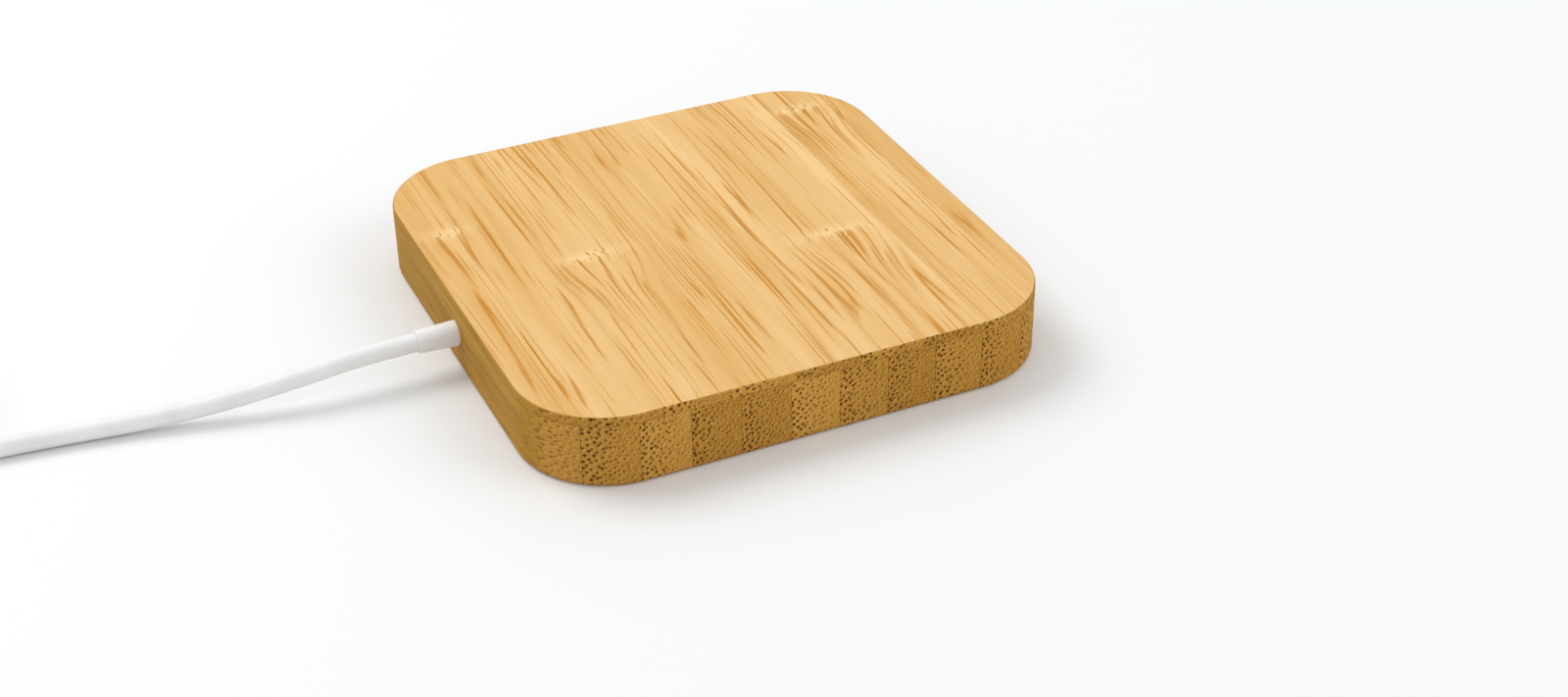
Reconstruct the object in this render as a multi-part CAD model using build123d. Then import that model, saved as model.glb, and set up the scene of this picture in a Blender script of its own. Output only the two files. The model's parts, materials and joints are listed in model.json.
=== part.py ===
from build123d import *

import math
import os

# Wireless charging pad: a milled bamboo slab with a glued bamboo lid, a magnet ring, a flat
# coil and its electronics inside, and a fixed cord that ends in a USB-C plug.
# Millimetres, +Z up. The origin is the centre of the underside, which is the charging face,
# and the cord leaves through the middle of the -X side.

# Case
case_side = 60.0
case_height = 8.5
corner_radius = 10.5
lid_thickness = 1.0
glue_thickness = 0.1
face_thickness = 1.2
pocket_radius = 27.6
lid_edge_round = 0.3
face_edge_round = 0.6

# Charging stack, counted up from the inside of the charging face
film = 0.1
ring_outer = 27.0
ring_inner = 23.0
ring_slots = 18
magnet_gap = 0.35
magnet_thickness = 1.3
yoke_thickness = 0.4
coil_outer = 21.0
coil_inner = 10.0
coil_thickness = 1.0
ferrite_radius = 22.5
ferrite_thickness = 0.8
lead_slot_width = 4.6
lead_slot_start = -2.2
lead_wire_diameter = 0.6
bead_radius = 0.45
leg_diameter = 0.2
leg_offset = 0.22

# Circuit board
board_radius = 24.5
board_thickness = 0.8
board_flat_x = -19.0
board_notch_x = 21.6
board_film = 0.2
tallest_part = 1.8
foam_gap = 0.1
foam_radius = 20.5

# Components on the board: centre x, y, side and height of each leadless chip
controller = (3.0, 7.0, 5.0, 0.85)
power_delivery = (-9.5, 5.0, 4.0, 0.8)
switch_xs = (2.0, 6.2)
switch_ys = (-6.4, -2.2)
switch_side = 3.2
switch_height = 0.8
pin_one_chamfer = 0.4

# Rows of block-shaped components: first x, first y, step in x, step in y, how many
tank_row = (-8.0, -14.0, 4.0, 0.0, 5)
tank_size = (3.2, 2.5, tallest_part)
input_row = (-14.0, -6.5, 2.2, 0.0, 4)
input_size = (1.6, 3.2, 1.5)
passive_rows = [
    (-1.2, 11.4, 1.6, 0.0, 6),
    (-13.0, 9.0, 1.6, 0.0, 4),
    (11.0, -8.0, 0.0, 1.4, 6),
    (8.2, 4.6, 0.0, 1.4, 4),
]
passive_size = (1.0, 0.5, 0.45)
inductor_place = (-4.5, 14.5)
inductor_size = (5.0, 5.0, 1.75)
inductor_round = 0.8
crystal_place = (11.5, 10.5)
crystal_size = (2.5, 2.0, 0.5)
crystal_round = 0.3
joint_radius = 0.7
joint_top_radius = 0.35
joint_height = 0.7

# Cord, strain relief and the conductors inside it
cord_diameter = 2.1
cord_y = -0.8
cord_z = 4.2
floor_gap = 0.02
cord_rest_z = cord_diameter / 2 + floor_gap
relief_end_x = -34.5
relief_body_diameter = 2.9
relief_tip_diameter = 2.5
relief_flange_diameter = 4.2
relief_flange_thickness = 1.3
wall_hole_diameter = 3.0
wall_hole_length = 8.0
bore_clearance = 0.03
collar_gap = 0.15
collar_length = 1.6
collar_wall = 0.6
jacket_end_x = -23.4
conductor_diameter = 0.66
conductor_pad_ys = (-3.8, 2.2, -0.8)

# The put-away coil of cord and its tie
hank_x = -97.0
hank_y = 19.7
hank_mid_radius = 12.2
turn_pitch = 2.15
turns_wide = 3
turns_high = 4
hank_stub = 8.2
arrive_angle = -96.0
tail_angle = -60.0
tie_thickness = 0.6
tie_angle = 135.0
tie_spread = 26.0
tie_clearance = 0.05
bundle_round = 1.7
plug_end_x = -112.6
plug_end_y = -8.9

# Plug
relief_length = 6.0
housing_length = 15.5
housing_width = 10.6
housing_height = 5.6
housing_round = 2.6
shell_length = 6.6
shell_width = 8.34
shell_height = 2.56
shell_wall = 0.3
plug_heading = 225.0
boot_start_radius = 1.55
boot_end_radius = 2.1
housing_edge_round = 0.5
can_back_gap = 1.6
can_front_gap = 1.2
can_wall = 0.2
can_inset = 2.2
wires_way_radius = 1.3
paddle_size = (8.0, 7.0, 0.8)
paddle_gap = 0.1
tongue_depth = 5.2
tongue_width = 6.8
tongue_height = 0.9
liner_setback = 0.35
contact_count = 12
contact_pitch = 0.5
contact_size = (3.8, 0.26, 0.16)
contact_back = 3.1
contact_level = 0.36
latch_size = (3.4, 0.22, 0.5)
latch_back = 3.0
latch_offset = 3.25
wire_pitch = 0.75

# Levels that follow from the sizes above
cord_radius = cord_diameter / 2
half_side = case_side / 2
body_top = case_height - lid_thickness - glue_thickness
stack_z = face_thickness + film
ferrite_z = stack_z + coil_thickness + film
yoke_z = stack_z + magnet_thickness
board_z = ferrite_z + ferrite_thickness + board_film
board_top = board_z + board_thickness
foam_z = board_top + tallest_part + foam_gap
hank_outer_radius = hank_mid_radius + (turns_wide - 1) / 2 * turn_pitch
hank_top_z = cord_rest_z + (turns_high - 1) * turn_pitch

LOW = (Align.CENTER, Align.CENTER, Align.MIN)
os.makedirs("parts", exist_ok=True)
written = []


def save(piece, name):
    """Write one node."""
    if isinstance(piece, list):
        piece = Compound(children=piece) if len(piece) > 1 else piece[0]
    export_step(piece, f"parts/{name}.step")
    written.append(name)


def disc(radius, z, height):
    return Pos(0, 0, z) * Cylinder(radius, height, align=LOW)


def ring(outer, inner, z, height):
    return disc(outer, z, height) - disc(inner, z, height)


def block(x, y, z, length, width, height):
    """A box standing on z, centred on x, y."""
    return Pos(x, y, z) * Box(length, width, height, align=LOW)


def slab(z, height):
    """The case's rounded square."""
    outline = RectangleRounded(case_side, case_side, corner_radius)
    return extrude(Pos(0, 0, z) * outline, height)


def sector(outer, inner, z, height, start, sweep_degrees):
    """A flat arc-shaped block, from one angle round to another."""
    middle = (outer + inner) / 2
    section = Plane.XZ * Pos(middle, z + height / 2) * Rectangle(outer - inner, height)
    return Rot(0, 0, start) * revolve(section, Axis.Z, sweep_degrees)


def arc_radii(points):
    """The largest arc that each corner's two runs allow."""
    radii = []
    for before, corner, after in zip(points, points[1:], points[2:]):
        run_in = Vector(*corner) - Vector(*before)
        run_out = Vector(*after) - Vector(*corner)
        turn = math.radians(run_in.get_angle(run_out))
        radii.append(0.45 * min(run_in.length, run_out.length) / math.tan(turn / 2))
    return radii


def tube(points, diameter, label=None):
    """A round tube along straight runs joined by tangent arcs."""
    radii = arc_radii(points)
    path = FilletPolyline(*points, radius=radii)
    section = Plane(path @ 0, z_dir=path % 0) * Circle(diameter / 2)
    solid = sweep(section, path=path)
    if label:
        wanted = math.pi * diameter ** 2 / 4 * path.length
        print(label, "length", round(path.length, 1), "volume ratio",
              round(solid.volume / wanted, 4), "radii", [round(r, 1) for r in radii])
    return solid


# Bamboo case

def make_case():
    body = slab(0, body_top)
    low_edges = body.edges().group_by(Axis.Z)[0]
    body = fillet(low_edges, face_edge_round)
    pocket = disc(pocket_radius, face_thickness, body_top)
    hole = Pos(-half_side, cord_y, cord_z) * Rot(0, 90, 0) * Cylinder(
        wall_hole_diameter / 2, wall_hole_length)
    save(body - pocket - hole, "bamboo_body")

    glue = slab(body_top, glue_thickness) - disc(pocket_radius, body_top, glue_thickness)
    save(glue, "lid_adhesive")

    lid = slab(body_top + glue_thickness, lid_thickness)
    top_edges = lid.edges().group_by(Axis.Z)[-1]
    save(fillet(top_edges, lid_edge_round), "bamboo_lid")


# Magnets, coil and shield

def make_charging_stack():
    save(disc(ring_outer, face_thickness, film), "face_tape")

    # One slot of the ring is left empty where the cord comes in, at 180 degrees.
    slot_angle = 360 / ring_slots
    gap_angle = math.degrees(magnet_gap / ring_outer)
    magnets = []
    for number in range(1, ring_slots):
        start = 180 - slot_angle / 2 + number * slot_angle + gap_angle / 2
        magnets.append(sector(ring_outer, ring_inner, stack_z, magnet_thickness,
                              start, slot_angle - gap_angle))
    save(magnets, "ring_magnets")
    save(sector(ring_outer, ring_inner, yoke_z, yoke_thickness,
                180 + slot_angle / 2, 360 - slot_angle), "steel_yoke_ring")

    save(ring(coil_outer, coil_inner, stack_z, coil_thickness), "charging_coil")

    slot_length = ferrite_radius + 1 - lead_slot_start
    slot = block(lead_slot_start + slot_length / 2, 0, stack_z, slot_length, lead_slot_width,
                 board_z - stack_z)
    save(ring(coil_outer, coil_inner, ferrite_z - film, film) - slot, "coil_tape")
    save(disc(ferrite_radius, ferrite_z, ferrite_thickness) - slot, "ferrite_shield")

    # Both coil leads run out through the shield's slot, come up through the board's notch
    # and turn back onto its pads.
    lead_z = ferrite_z + ferrite_thickness / 2
    coil_z = stack_z + coil_thickness / 2
    pad_x = board_notch_x - 1.6
    rise_x = board_notch_x + 0.9
    rise_z = board_top + 0.55
    inner_lead = [(coil_inner, 0.6, coil_z), (coil_inner - 1.1, 0.62, coil_z),
                  (coil_inner - 1.3, 0.64, lead_z), (coil_inner + 1.2, 0.66, lead_z),
                  (15.4, 0.7, lead_z + 0.02), (20.0, 1.0, lead_z), (rise_x, 1.1, lead_z + 0.3),
                  (rise_x + 0.2, 1.1, rise_z - 0.2), (pad_x, 1.1, rise_z - 0.1)]
    save(tube(inner_lead, lead_wire_diameter), "coil_lead_inner")
    start_x = math.sqrt(coil_outer ** 2 - 1.2 ** 2) + 0.02
    outer_lead = [(start_x, -1.2, coil_z), (rise_x, -1.2, coil_z + 0.2),
                  (rise_x + 0.1, -1.22, rise_z - 0.3), (pad_x, -1.3, rise_z - 0.1)]
    save(tube(outer_lead, lead_wire_diameter), "coil_lead_outer")

    # The thermistor bead sits in the middle of the coil with its two legs in the same slot.
    bead = Pos(0, 0, coil_z) * Sphere(bead_radius)
    bead += Pos(0.2, 0, coil_z) * Rot(0, 90, 0) * Cylinder(bead_radius - 0.05, 0.5)
    save(bead, "thermistor")
    legs = []
    for side in (-1, 1):
        start_y = side * leg_offset
        y = 1.8 + start_y
        legs.append(tube([(0.6, start_y, coil_z), (1.8, start_y, coil_z + 0.1),
                          (4.4, y, lead_z), (12.0, y + 0.02, lead_z), (19.0, y, lead_z + 0.01),
                          (rise_x, y, lead_z + 0.3), (rise_x + 0.1, y, rise_z - 0.5),
                          (pad_x + 0.2, y, rise_z - 0.38)], leg_diameter))
    save(legs, "thermistor_legs")


# Circuit board

def board_outline(z, height):
    """The round board with its cord flat and its lead notch."""
    plate = disc(board_radius, z, height)
    reach = 2 * board_radius
    plate -= block(board_flat_x - reach / 2, 0, z, reach, reach, height)
    plate -= block(board_notch_x + reach / 2, 0, z, reach, lead_slot_width + 1.2, height)
    return plate


def row_places(first_x, first_y, step_x, step_y, count):
    return [(first_x + number * step_x, first_y + number * step_y) for number in range(count)]


def on_board(places, size):
    """Copies of one block-shaped component, standing on the board."""
    return [block(x, y, board_top, *size) for x, y in places]


def chip(x, y, side, height):
    """A leadless chip with a chamfered pin-one corner."""
    body = block(x, y, board_top, side, side, height)
    corner = body.edges().filter_by(Axis.Z).sort_by(Axis.X)[0]
    return chamfer(corner, pin_one_chamfer)


def rounded_block(place, size, radius):
    """A component with its upright edges rounded."""
    body = block(*place, board_top, *size)
    return fillet(body.edges().filter_by(Axis.Z), radius)


def make_electronics():
    save(board_outline(board_z - board_film, board_film), "insulating_film")
    save(board_outline(board_z, board_thickness), "circuit_board")

    save(chip(*controller), "charge_controller")
    save(chip(*power_delivery), "power_delivery_chip")
    save([chip(x, y, switch_side, switch_height) for x in switch_xs for y in switch_ys],
         "power_switches")
    save(on_board(row_places(*tank_row), tank_size), "tuning_capacitors")
    save(on_board(row_places(*input_row), input_size), "input_capacitors")
    save(rounded_block(inductor_place, inductor_size, inductor_round), "filter_inductor")
    save(rounded_block(crystal_place, crystal_size, crystal_round), "clock_crystal")

    # Small resistors and capacitors stand in rows round the chips.
    passive_places = []
    for row in passive_rows:
        passive_places += row_places(*row)
    save(on_board(passive_places, passive_size), "small_passives")

    save(disc(foam_radius, foam_z, body_top + glue_thickness - foam_z), "foam_pad")


# Cord entry

def along_x(start, end, radius, end_radius=None, y=cord_y, z=cord_z):
    """A round bar or cone between two x positions, parallel to X."""
    length = end - start
    place = Pos(start, y, z) * Rot(0, 90, 0)
    if end_radius is None:
        return place * Cylinder(radius, length, align=LOW)
    return place * Cone(radius, end_radius, length, align=LOW)


def make_cord_entry():
    flange_face = -math.sqrt(pocket_radius ** 2 - (relief_flange_diameter / 2 + 0.8) ** 2)
    flange_end = flange_face + relief_flange_thickness
    relief = along_x(relief_end_x, -half_side, relief_tip_diameter / 2, relief_body_diameter / 2)
    relief += along_x(-half_side, flange_face, relief_body_diameter / 2)
    relief += along_x(flange_face, flange_end, relief_flange_diameter / 2)
    rim = relief.faces().sort_by(Axis.X)[0].edges()
    relief = fillet(rim, 0.25)
    relief -= along_x(relief_end_x - 1, flange_end + 1, cord_radius + bore_clearance)
    save(relief, "strain_relief")

    save(along_x(relief_end_x, jacket_end_x, cord_radius), "cord_inner_end")
    collar_start = flange_end + collar_gap
    collar_end = collar_start + collar_length
    collar = along_x(collar_start, collar_end, cord_radius + collar_wall)
    collar -= along_x(collar_start - 1, collar_end + 1, cord_radius + bore_clearance)
    save(collar, "cord_clamp_collar")

    # Three insulated conductors spread from the jacket's end onto three pads.
    joints = []
    pad_x = board_flat_x + 1.9
    spread = conductor_diameter * 0.6
    names = ("ground_wire", "signal_wire", "supply_wire")
    for number, name in enumerate(names):
        angle = math.radians(210 + 120 * number)
        start_y = cord_y + spread * math.cos(angle)
        start_z = cord_z + spread * math.sin(angle)
        pad_y = conductor_pad_ys[number]
        route = [(jacket_end_x, start_y, start_z), (jacket_end_x + 1.4, start_y, start_z + 0.02),
                 (board_flat_x - 1.6, (start_y + pad_y) / 2, board_top + 0.5),
                 (board_flat_x + 0.2, pad_y, board_top + 0.55),
                 (pad_x, pad_y, board_top + 0.5)]
        save(tube(route, conductor_diameter), name)
        joints.append((pad_x + 0.75, pad_y))
    for y in (-1.3, 1.1):
        joints.append((board_notch_x - 2.35, y))
    save([Pos(x, y, board_top) * Cone(joint_radius, joint_top_radius, joint_height, align=LOW)
          for x, y in joints], "solder_joints")


# Free cord

def along(point, angle, distance):
    """The point reached from another by going level in one direction."""
    angle = math.radians(angle)
    x, y, z = point
    return x + distance * math.cos(angle), y + distance * math.sin(angle), z


def make_cord():
    """The lead to the coil of spare cord, that coil, its tie and the tail to the plug."""
    # The lead meets the outer turn of the lowest layer along its tangent.
    middle = (hank_x, hank_y, cord_rest_z)
    arrive = along(middle, arrive_angle, hank_outer_radius)
    lead_join = along(arrive, arrive_angle + 90, hank_stub)
    lead_route = [
        (relief_end_x, cord_y, cord_z),
        (-40.0, cord_y, cord_z),
        (-47.5, -0.95, 3.45),
        (-55.5, 0.1, 2.1),
        (-63.2, 1.45, 1.25),
        (-72.0, 2.85, cord_rest_z),
        along(lead_join, arrive_angle + 90, 8.6),
        lead_join,
    ]
    save(tube(lead_route, cord_diameter, "cord_lead"), "cord_lead")

    # The tail leaves the outer turn of the highest layer in the same way.
    middle_top = (hank_x, hank_y, hank_top_z)
    leave = along(middle_top, tail_angle, hank_outer_radius)
    tail_join = along(leave, tail_angle - 90, hank_stub)
    plug_end = (plug_end_x, plug_end_y, housing_height / 2 + floor_gap)
    tail_route = [
        tail_join,
        along(tail_join, tail_angle - 90, 4.0),
        (-103.75, -1.0, 6.32),
        (-106.9, -3.47, 4.04),
        along(plug_end, plug_heading - 180, 4.0),
        plug_end,
    ]
    save(tube(tail_route, cord_diameter, "cord_tail"), "cord_tail")

    width = (turns_wide - 1) * turn_pitch + cord_diameter
    height = hank_top_z + cord_radius
    section = Plane.XZ * Pos(hank_mid_radius, height / 2) * RectangleRounded(
        width, height, bundle_round)
    stub = Rot(0, 90, 0) * Cylinder(cord_radius, hank_stub, align=LOW)
    here = Pos(hank_x, hank_y, 0)
    hank = here * revolve(section, Axis.Z)
    hank += Pos(*lead_join) * Rot(0, 0, arrive_angle - 90) * stub
    hank += Pos(*leave) * Rot(0, 0, tail_angle - 90) * stub
    strap = Rot(0, 0, tie_angle - tie_spread / 2)
    under = Plane.XZ * Pos(hank_mid_radius, 0) * Rectangle(
        width + 2, 2 * (tie_thickness + tie_clearance))
    hank -= here * strap * revolve(under, Axis.Z, tie_spread)
    save(hank, "cord_coil")

    # The tie passes under the bundle in the space that it presses up there.
    def wrap(gap, floor):
        """The bundle's section grown all round by a gap and cut off flat at a level."""
        grown = Pos(hank_mid_radius, height / 2) * RectangleRounded(
            width + 2 * gap, height + 2 * gap, bundle_round + gap)
        return grown & Pos(hank_mid_radius, floor + height) * Rectangle(4 * width, 2 * height)

    band = wrap(tie_clearance + tie_thickness, 0) - wrap(tie_clearance, tie_thickness)
    save(here * strap * revolve(Plane.XZ * band, Axis.Z, tie_spread), "cord_tie")
    turns = turns_wide * turns_high - (tail_angle - arrive_angle) / 360
    total = turns * 2 * math.pi * hank_mid_radius
    print("cord in the coil", round(total + 2 * hank_stub, 1))
    return plug_end


# Plug

def oval(length, width, height, start):
    """A flat-sided oval bar along X."""
    outline = Plane.YZ * RectangleRounded(width, height, height / 2 - 0.001)
    return Pos(start, 0, 0) * extrude(outline, length)


def make_plug(end):
    """Everything on the cord's far end, laid flat on the surface."""
    place = Pos(*end) * Rot(0, 0, plug_heading)
    front = relief_length + housing_length
    can_start = relief_length + can_back_gap
    can_end = front - can_front_gap
    can_width = housing_width - can_inset
    can_height = housing_height - can_inset
    core_middle = (can_start + can_end) / 2
    centre = (Align.CENTER, Align.CENTER, Align.CENTER)

    boot = Rot(0, 90, 0) * Cone(boot_start_radius, boot_end_radius, relief_length, align=LOW)
    save(place * boot, "plug_strain_relief")

    housing = Pos(relief_length, 0, 0) * extrude(
        Plane.YZ * RectangleRounded(housing_width, housing_height, housing_round), housing_length)
    ends = housing.edges().group_by(Axis.X)
    housing = fillet(ends[0] + ends[-1], housing_edge_round)
    room = Pos(core_middle, 0, 0) * Box(can_end - can_start, can_width, can_height, align=centre)
    mouth = oval(3, shell_width, shell_height, can_end)
    wires_way = Pos(relief_length - 1, 0, 0) * Rot(0, 90, 0) * Cylinder(
        wires_way_radius, 4, align=LOW)
    save(place * (housing - room - mouth - wires_way), "plug_housing")

    can_length = can_end - can_start
    can = Pos(core_middle, 0, 0) * Box(can_length, can_width, can_height, align=centre)
    can -= Pos(core_middle, 0, 0) * Box(
        can_length - 2 * can_wall, can_width - 2 * can_wall, can_height - 2 * can_wall, align=centre)
    can -= Pos(can_start - 1, 0, 0) * Rot(0, 90, 0) * Cylinder(wires_way_radius, 2, align=LOW)
    can -= oval(2, shell_width - 2 * shell_wall, shell_height - 2 * shell_wall, can_end - 1)
    save(place * can, "plug_shield_can")

    paddle_start = can_end - can_wall - paddle_gap - paddle_size[0]
    paddle = Pos(paddle_start + paddle_size[0] / 2, 0, 0) * Box(*paddle_size, align=centre)
    save(place * paddle, "plug_board")

    shell_reach = front + shell_length - can_end
    shell = oval(shell_reach, shell_width, shell_height, can_end)
    shell -= oval(shell_reach, shell_width - 2 * shell_wall, shell_height - 2 * shell_wall, can_end)
    save(place * shell, "plug_shell")

    liner = oval(shell_reach - liner_setback, shell_width - 2 * shell_wall,
                 shell_height - 2 * shell_wall, can_end)
    tongue_room = Pos(front + shell_length - tongue_depth, 0, 0) * Box(
        tongue_depth + 1, tongue_width, tongue_height, align=(Align.MIN, Align.CENTER, Align.CENTER))
    save(place * (liner - tongue_room), "plug_liner")

    contacts = []
    for row in (-1, 1):
        for number in range(contact_count):
            y = (number - (contact_count - 1) / 2) * contact_pitch
            contacts.append(place * Pos(front + shell_length - contact_back, y, row * contact_level)
                            * Box(*contact_size, align=centre))
    save(contacts, "plug_contacts")
    latches = [place * Pos(front + shell_length - latch_back, side * latch_offset, 0) * Box(
        *latch_size, align=centre) for side in (-1, 1)]
    save(latches, "plug_latches")

    wires = []
    for number in range(3):
        y = (number - 1) * wire_pitch
        wires.append(place * Pos(relief_length, y, 0) * Rot(0, 90, 0) * Cylinder(
            conductor_diameter / 2, paddle_start - relief_length, align=LOW))
    save(wires, "plug_wires")


make_case()
make_charging_stack()
make_electronics()
make_cord_entry()
plug_place = make_cord()
make_plug(plug_place)
print(len(written), "nodes written")
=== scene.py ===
import bpy
import bmesh
import json
import math
from mathutils import Matrix, Vector


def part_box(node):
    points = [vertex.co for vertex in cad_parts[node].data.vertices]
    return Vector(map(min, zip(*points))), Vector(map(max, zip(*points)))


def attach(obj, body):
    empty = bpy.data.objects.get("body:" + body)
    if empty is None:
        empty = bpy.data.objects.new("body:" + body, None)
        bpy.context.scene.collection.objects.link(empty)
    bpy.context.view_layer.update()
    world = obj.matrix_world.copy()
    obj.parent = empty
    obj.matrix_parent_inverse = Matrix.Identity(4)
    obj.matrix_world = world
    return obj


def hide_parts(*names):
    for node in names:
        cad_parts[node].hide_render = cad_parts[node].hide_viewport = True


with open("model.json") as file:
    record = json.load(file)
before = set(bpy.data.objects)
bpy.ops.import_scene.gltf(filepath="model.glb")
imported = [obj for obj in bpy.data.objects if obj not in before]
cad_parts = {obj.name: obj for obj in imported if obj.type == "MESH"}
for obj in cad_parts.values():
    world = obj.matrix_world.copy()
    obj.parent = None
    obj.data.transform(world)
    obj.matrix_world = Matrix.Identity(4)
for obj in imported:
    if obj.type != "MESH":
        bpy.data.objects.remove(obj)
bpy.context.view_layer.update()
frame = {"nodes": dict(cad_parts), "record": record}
cadNodes = frame["nodes"]
mm = 0.001
print("frame loaded:", len(cadNodes), "nodes")


# the camera

# place in millimetres, then the way it looks and the way its right hand points
view = {
    "place": (-88.11, -208.99, 139.09),
    "ahead": (0.35679, 0.76143, -0.54123),
    "rightHand": (0.90402, -0.42746, -0.00543),
    "lens": 53.15,
    "nearest": 0.005,         # metres
}


def makeCamera():
    ahead = Vector(view["ahead"]).normalized()
    right = Vector(view["rightHand"]).normalized()
    up = right.cross(ahead).normalized()
    right = ahead.cross(up)
    turn = Matrix((right, up, -ahead)).transposed().to_4x4()
    lens = bpy.data.cameras.new("studioCamera")
    lens.lens = view["lens"]
    lens.clip_start = view["nearest"]
    camera = bpy.data.objects.new("studioCamera", lens)
    camera.matrix_world = Matrix.Translation(Vector(view["place"]) * mm) @ turn
    bpy.context.scene.collection.objects.link(camera)
    bpy.context.scene.camera = camera


makeCamera()
print("camera set")


# the free cord

# millimetres and degrees
cordPlan = {
    "diameter": 2.1,
    "length": 1000.0,
    "exit": (-34.5, -0.8, 4.2),
    "leadRoute": [(-40.0, -0.8, 4.2), (-47.5, -0.95, 3.45), (-55.5, 0.1, 2.1), (-63.2, 1.45, 1.25),
                  (-72.0, 2.85, 1.07)],
    "leadRun": 8.6,           # the last run before the coil
    "restHeight": 1.07,
    "coilX": -97.0,
    "coilY": 19.7,
    "midRadius": 12.2,
    "pitch": 2.15,
    "turnsWide": 3,
    "turnsHigh": 4,
    "straightJoin": 8.2,
    "arriveAngle": -96.0,
    "leaveAngle": -60.0,
    "pointsPerTurn": 16,
    "shiftFrom": 0.70,        # share of a turn after which it moves over to the next one
    "shiftTo": 0.95,
    "riserBulge": 0.9,
    "tieAngle": 135.0,
    "tieSpread": 26.0,
    "tieFade": 26.0,
    "tieThickness": 0.6,
    "tieSqueeze": 0.915,
    "tailRun": 4.0,           # the first run after the coil
    "tailRoute": [(-103.75, -1.0, 6.32), (-106.9, -3.47, 4.04)],
    "plugRun": 4.0,
    "plugEnd": (-112.6, -8.9, 2.82),
    "plugHeading": 225.0,
}


def along(point, angle, distance):
    angle = math.radians(angle)
    x, y, z = point
    return x + distance * math.cos(angle), y + distance * math.sin(angle), z


def easy(value):
    value = min(max(value, 0.0), 1.0)
    return value * value * (3 - 2 * value)


def turnPlace(number):
    # column and level of one turn: each level is wound back over the one below
    plan = cordPlan
    level, column = divmod(number, plan["turnsWide"])
    if level % 2:
        column = plan["turnsWide"] - 1 - column
    outer = plan["midRadius"] + (plan["turnsWide"] - 1) / 2 * plan["pitch"]
    return outer - column * plan["pitch"], plan["restHeight"] + level * plan["pitch"]


def tieHold(angle):
    # 1 inside the tie, fading to 0 on each side of it
    away = abs((angle - cordPlan["tieAngle"] + 180) % 360 - 180)
    return 1 - easy((away - cordPlan["tieSpread"] / 2) / cordPlan["tieFade"])


def coilPoints():
    plan = cordPlan
    lastTurn = plan["turnsWide"] * plan["turnsHigh"] - 1
    swept = (lastTurn + 1) * 360 - (plan["leaveAngle"] - plan["arriveAngle"])
    steps = round(swept / 360 * plan["pointsPerTurn"])
    polygon = 1 / math.cos(math.pi / plan["pointsPerTurn"])    # the curve runs inside its points
    points = []
    for step in range(1, steps):
        turned = swept * step / steps
        number, share = divmod(turned / 360, 1)
        radius, height = turnPlace(int(number))
        if number < lastTurn:
            nextRadius, nextHeight = turnPlace(int(number) + 1)
            shift = easy((share - plan["shiftFrom"]) / (plan["shiftTo"] - plan["shiftFrom"]))
            if nextHeight > height:
                side = 1 if radius > plan["midRadius"] else -1
                radius += side * plan["riserBulge"] * math.sin(math.pi * shift)
            radius += (nextRadius - radius) * shift if nextHeight == height else 0
            height += (nextHeight - height) * shift
        angle = plan["arriveAngle"] - turned
        # under the tie the turns lie on its strap and are drawn together
        squeezed = (height - plan["restHeight"]) * (1 - plan["tieSqueeze"])
        height += tieHold(angle) * (plan["tieThickness"] - squeezed)
        x, y, z = along((plan["coilX"], plan["coilY"], height), angle, radius * polygon)
        points.append((x, y, z))
    return points


def cordRoute():
    plan = cordPlan
    outer, low = turnPlace(0)
    high = turnPlace(plan["turnsWide"] * plan["turnsHigh"] - 1)[1]
    arrive = along((plan["coilX"], plan["coilY"], low), plan["arriveAngle"], outer)
    leadJoin = along(arrive, plan["arriveAngle"] + 90, plan["straightJoin"])
    leave = along((plan["coilX"], plan["coilY"], high), plan["leaveAngle"], outer)
    tailJoin = along(leave, plan["leaveAngle"] - 90, plan["straightJoin"])
    lead = [plan["exit"], *plan["leadRoute"], along(leadJoin, plan["arriveAngle"] + 90, plan["leadRun"]),
            leadJoin, arrive]
    tail = [leave, tailJoin, along(tailJoin, plan["leaveAngle"] - 90, plan["tailRun"]), *plan["tailRoute"],
            along(plan["plugEnd"], plan["plugHeading"] - 180, plan["plugRun"]), plan["plugEnd"]]
    return lead + coilPoints() + tail


def smoothTube(name, route, diameter, between, sides):
    # one smooth line through a route; its points hold the radius, so that its box is the true one
    curve = bpy.data.curves.new(name, "CURVE")
    curve.dimensions = "3D"
    spline = curve.splines.new("NURBS")
    spline.points.add(len(route) - 1)
    for point, place in zip(spline.points, route):
        point.co = (*(Vector(place) * mm), 1.0)
        point.radius = diameter / 2 * mm
    spline.order_u = 3
    spline.use_endpoint_u = True
    spline.resolution_u = between
    spline.use_smooth = True
    curve.bevel_depth = 1.0
    curve.bevel_resolution = sides
    curve.use_fill_caps = True
    tube = bpy.data.objects.new(name, curve)
    bpy.context.scene.collection.objects.link(tube)
    return tube


def makeCord():
    cord = smoothTube("whiteCord", cordRoute(), cordPlan["diameter"], 6, 5)
    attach(cord, "root")
    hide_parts("cord_lead", "cord_coil", "cord_tail")
    return cord


cord = makeCord()
print("cord laid")


# building blocks for materials

def tone(red, green, blue):
    # display values from 0 to 255 as a linear colour
    channels = []
    for value in (red, green, blue):
        value /= 255
        channels.append(value / 12.92 if value <= 0.04045 else ((value + 0.055) / 1.055) ** 2.4)
    return (*channels, 1.0)


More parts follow.
